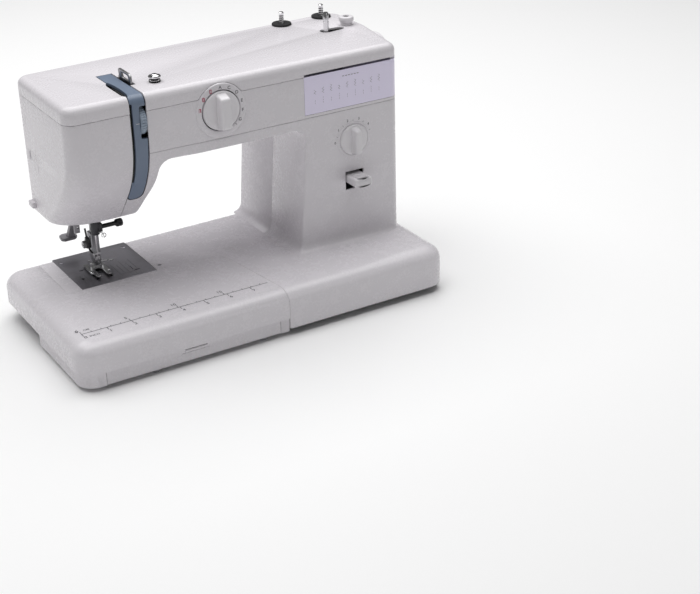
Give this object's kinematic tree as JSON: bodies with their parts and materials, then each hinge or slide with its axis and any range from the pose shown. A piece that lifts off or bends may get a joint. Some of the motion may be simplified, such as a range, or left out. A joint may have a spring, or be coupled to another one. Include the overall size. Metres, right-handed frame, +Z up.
{
  "type": "sewing machine",
  "caption": "Free-arm domestic sewing machine with a wide removable extension table, pattern dial, blue-grey thread guide strip, spool pins, handwheel and folding carry handle.",
  "frame": {"origin": "on the surface the machine stands on, under the middle of its bounding box", "axes": "+X from the needle end to the handwheel, +Y to the back, away from the person sewing, +Z up"},
  "size_m": [0.432, 0.22, 0.272],
  "materials": {
    "white_shell": "glossy white moulding",
    "grey_pan": "matt",
    "rubber": "matt",
    "cast_frame": "as cast",
    "strip_blue": "satin",
    "chart_lilac": "satin print",
    "plate_steel": "brushed",
    "chrome": "polished",
    "steel": "ground",
    "bronze": "sintered",
    "black_plastic": "satin",
    "belt_rubber": "matt",
    "felt": "felt",
    "knob_white": "satin white",
    "lamp_glass": "clear",
    "grey_plastic": "satin",
    "motor_case": "painted"
  },
  "bodies": {
    "frame": {"base_pan": "grey_pan", "rubber_feet": "rubber", "chassis": "cast_frame", "bed_cover": "white_shell", "free_arm_cover": "white_shell", "front_cover": "white_shell", "rear_cover": "white_shell", "top_cover": "white_shell", "face_cover": "white_shell", "thread_guide_strip": "strip_blue", "stitch_chart_panel": "chart_lilac", "needle_plate": "plate_steel", "case_screws": "steel", "hook_race": "steel", "bobbin_case": "steel", "motor": "motor_case", "shaft_bushes": "bronze", "timing_belt": "belt_rubber", "motor_belt": "belt_rubber", "spool_felts": "felt", "bobbin_stop": "knob_white", "pretension_guide": "chrome", "tension_discs": "chrome", "lamp": "lamp_glass", "power_inlet": "black_plastic"},
    "extension_table": {"extension_table": "white_shell", "table_feet": "grey_pan"},
    "storage_lid": {"storage_lid": "white_shell"},
    "shuttle_door": {"shuttle_door": "white_shell"},
    "drive": {"handwheel": "knob_white", "main_shaft": "steel", "crank": "steel", "upper_pulley": "black_plastic"},
    "connecting_rod": {"connecting_rod": "steel"},
    "lower_drive": {"lower_shaft": "steel", "lower_pulley": "black_plastic"},
    "motor_rotor": {"motor_pulley": "steel"},
    "shuttle_hook": {"shuttle_hook": "chrome"},
    "bobbin": {"bobbin": "grey_plastic"},
    "needle_bar": {"needle_bar": "chrome", "needle_clamp": "steel", "needle": "chrome"},
    "clamp_screw": {"clamp_screw": "black_plastic"},
    "takeup_lever": {"takeup_lever": "chrome"},
    "presser_bar": {"presser_bar": "chrome", "foot_holder": "steel"},
    "foot_screw": {"foot_screw": "black_plastic"},
    "presser_foot": {"presser_foot": "chrome"},
    "presser_lifter": {"presser_lifter": "grey_plastic"},
    "feed_dog": {"feed_dog": "steel"},
    "pattern_dial": {"pattern_dial": "knob_white"},
    "length_dial": {"length_dial": "knob_white"},
    "tension_dial": {"tension_dial": "grey_plastic"},
    "reverse_lever": {"reverse_lever": "knob_white"},
    "winder_arm": {"winder_arm": "grey_plastic"},
    "winder_spindle": {"winder_spindle": "knob_white"},
    "spool_pin_left": {"spool_pin_left": "steel"},
    "spool_pin_right": {"spool_pin_right": "steel"},
    "carry_handle": {"carry_handle": "knob_white"},
    "power_switch": {"power_switch": "black_plastic"}
  },
  "joints": [
    {"name": "table_slide", "type": "slide", "parent": "frame", "child": "extension_table", "axis": [-1, 0, 0], "range_m": [0, 0.2]},
    {"name": "storage_lid_hinge", "type": "hinge", "parent": "extension_table", "child": "storage_lid", "pos_m": [-0.097, -0.1064, 0.006], "axis": [1, 0, 0], "range_deg": [0, 85]},
    {"name": "shuttle_door_hinge", "type": "hinge", "parent": "frame", "child": "shuttle_door", "pos_m": [-0.136, 0.0098, 0.0197], "axis": [1, 0, 0], "range_deg": [0, 85]},
    {"name": "drive_spin", "type": "hinge", "parent": "frame", "child": "drive", "pos_m": [0.2, 0.037, 0.214], "axis": [1, 0, 0], "continuous": true},
    {"name": "rod_swing", "type": "hinge", "parent": "drive", "child": "connecting_rod", "pos_m": [-0.1165, 0.037, 0.229], "axis": [1, 0, 0], "continuous": true},
    {"name": "lower_spin", "type": "hinge", "parent": "frame", "child": "lower_drive", "pos_m": [0.05, 0.058, 0.0315], "axis": [1, 0, 0], "continuous": true},
    {"name": "motor_spin", "type": "hinge", "parent": "frame", "child": "motor_rotor", "pos_m": [0.15, -0.005, 0.082], "axis": [1, 0, 0], "continuous": true},
    {"name": "hook_swing", "type": "hinge", "parent": "frame", "child": "shuttle_hook", "pos_m": [-0.1325, 0.04, 0.0315], "axis": [0, 1, 0], "range_deg": [-105, 105]},
    {"name": "bobbin_spin", "type": "hinge", "parent": "frame", "child": "bobbin", "pos_m": [-0.1325, 0.028, 0.0315], "axis": [0, 1, 0], "continuous": true},
    {"name": "needle_bar_slide", "type": "slide", "parent": "frame", "child": "needle_bar", "axis": [0, 0, 1], "range_m": [-0.032, 0]},
    {"name": "clamp_screw_turn", "type": "hinge", "parent": "needle_bar", "child": "clamp_screw", "pos_m": [-0.115, 0.037, 0.0985], "axis": [1, 0, 0], "range_deg": [0, 360]},
    {"name": "takeup_swing", "type": "hinge", "parent": "frame", "child": "takeup_lever", "pos_m": [-0.094, 0.062, 0.226], "axis": [1, 0, 0], "range_deg": [0, 35]},
    {"name": "lifter_swing", "type": "hinge", "parent": "frame", "child": "presser_lifter", "pos_m": [-0.141, 0.062, 0.118], "axis": [1, 0, 0], "range_deg": [0, 38]},
    {"name": "presser_bar_slide", "type": "slide", "parent": "frame", "child": "presser_bar", "axis": [0, 0, 1], "range_m": [0, 0.006]},
    {"name": "foot_screw_turn", "type": "hinge", "parent": "presser_bar", "child": "foot_screw", "pos_m": [-0.14, 0.049, 0.078], "axis": [1, 0, 0], "range_deg": [0, 360]},
    {"name": "presser_foot_tilt", "type": "hinge", "parent": "presser_bar", "child": "presser_foot", "pos_m": [-0.1325, 0.046, 0.057], "axis": [1, 0, 0], "range_deg": [0, 5]},
    {"name": "feed_dog_slide", "type": "slide", "parent": "frame", "child": "feed_dog", "axis": [0, 1, 0], "range_m": [-0.002, 0.002]},
    {"name": "pattern_dial_turn", "type": "hinge", "parent": "frame", "child": "pattern_dial", "pos_m": [-0.02, -0.04, 0.221], "axis": [0, 1, 0], "range_deg": [-120, 85]},
    {"name": "length_dial_turn", "type": "hinge", "parent": "frame", "child": "length_dial", "pos_m": [0.128, -0.04, 0.16], "axis": [0, 1, 0], "range_deg": [-135, 135]},
    {"name": "tension_dial_turn", "type": "hinge", "parent": "frame", "child": "tension_dial", "pos_m": [-0.1, -0.0255, 0.2255], "axis": [1, 0, 0], "range_deg": [-150, 150]},
    {"name": "reverse_lever_press", "type": "hinge", "parent": "frame", "child": "reverse_lever", "pos_m": [0.128, -0.022, 0.118], "axis": [1, 0, 0], "range_deg": [0, 12], "stiffness_Nm_per_rad": 0.3, "springref_deg": -5.73},
    {"name": "winder_swing", "type": "hinge", "parent": "frame", "child": "winder_arm", "pos_m": [0.1543, -0.002, 0.2425], "axis": [0, 0, 1], "range_deg": [-22.4, 0]},
    {"name": "winder_spin", "type": "hinge", "parent": "winder_arm", "child": "winder_spindle", "pos_m": [0.1456, 0.042, 0.25], "axis": [0, 0, 1], "continuous": true},
    {"name": "spool_pin_left_slide", "type": "slide", "parent": "frame", "child": "spool_pin_left", "axis": [0, 0, 1], "range_m": [0, 0.02]},
    {"name": "spool_pin_right_slide", "type": "slide", "parent": "frame", "child": "spool_pin_right", "axis": [0, 0, 1], "range_m": [0, 0.02]},
    {"name": "carry_handle_fold", "type": "hinge", "parent": "frame", "child": "carry_handle", "pos_m": [0.05, 0.1075, 0.231], "axis": [1, 0, 0], "range_deg": [0, 170]},
    {"name": "power_switch_rock", "type": "hinge", "parent": "frame", "child": "power_switch", "pos_m": [0.19, 0.067, 0.0225], "axis": [0, 0, 1], "range_deg": [-16, 0]}
  ],
  "couplings": [
    {"joint": "rod_swing", "follows": "drive_spin", "ratio": -1},
    {"joint": "lower_spin", "follows": "drive_spin", "ratio": 1},
    {"joint": "motor_spin", "follows": "drive_spin", "ratio": 2.75},
    {"joint": "lifter_swing", "follows": "presser_bar_slide", "rad_per_m": 110.35},
    {"joint": "presser_foot_tilt", "follows": "presser_bar_slide", "rad_per_m": 14.4}
  ]
}
